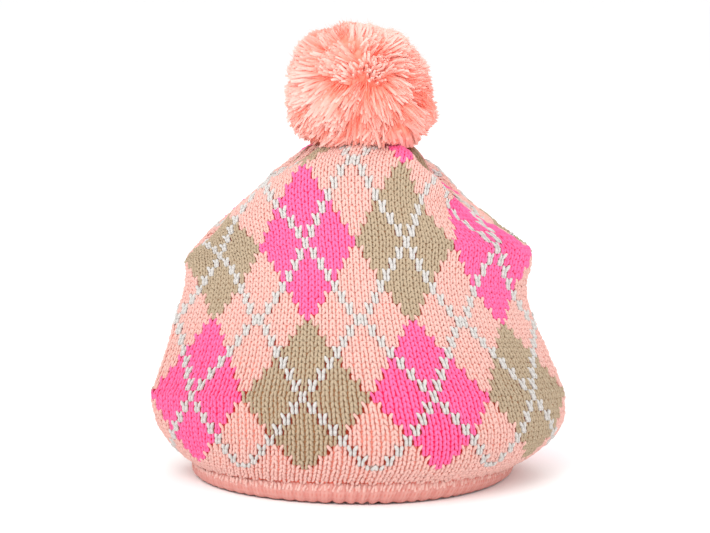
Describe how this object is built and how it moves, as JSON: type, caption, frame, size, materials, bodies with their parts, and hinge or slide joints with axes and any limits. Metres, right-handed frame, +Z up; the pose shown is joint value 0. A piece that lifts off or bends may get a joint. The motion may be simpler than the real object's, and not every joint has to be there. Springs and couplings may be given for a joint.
{
  "type": "tea cosy",
  "caption": "Knitted tea cosy with spout and handle slits, gathered shut under a yarn pompom.",
  "frame": {"origin": "middle of the cosy's box at the height of the hem's underside", "axes": "+Z up, +X towards the handle slit, -X towards the spout slit, -Y towards the front"},
  "size_m": [0.2006, 0.1646, 0.2211],
  "materials": {
    "cover_yarn": "matte",
    "pompom_yarn": "matte"
  },
  "bodies": {
    "root": {"knitted_cover": "cover_yarn", "pompom": "pompom_yarn"}
  },
  "joints": []
}
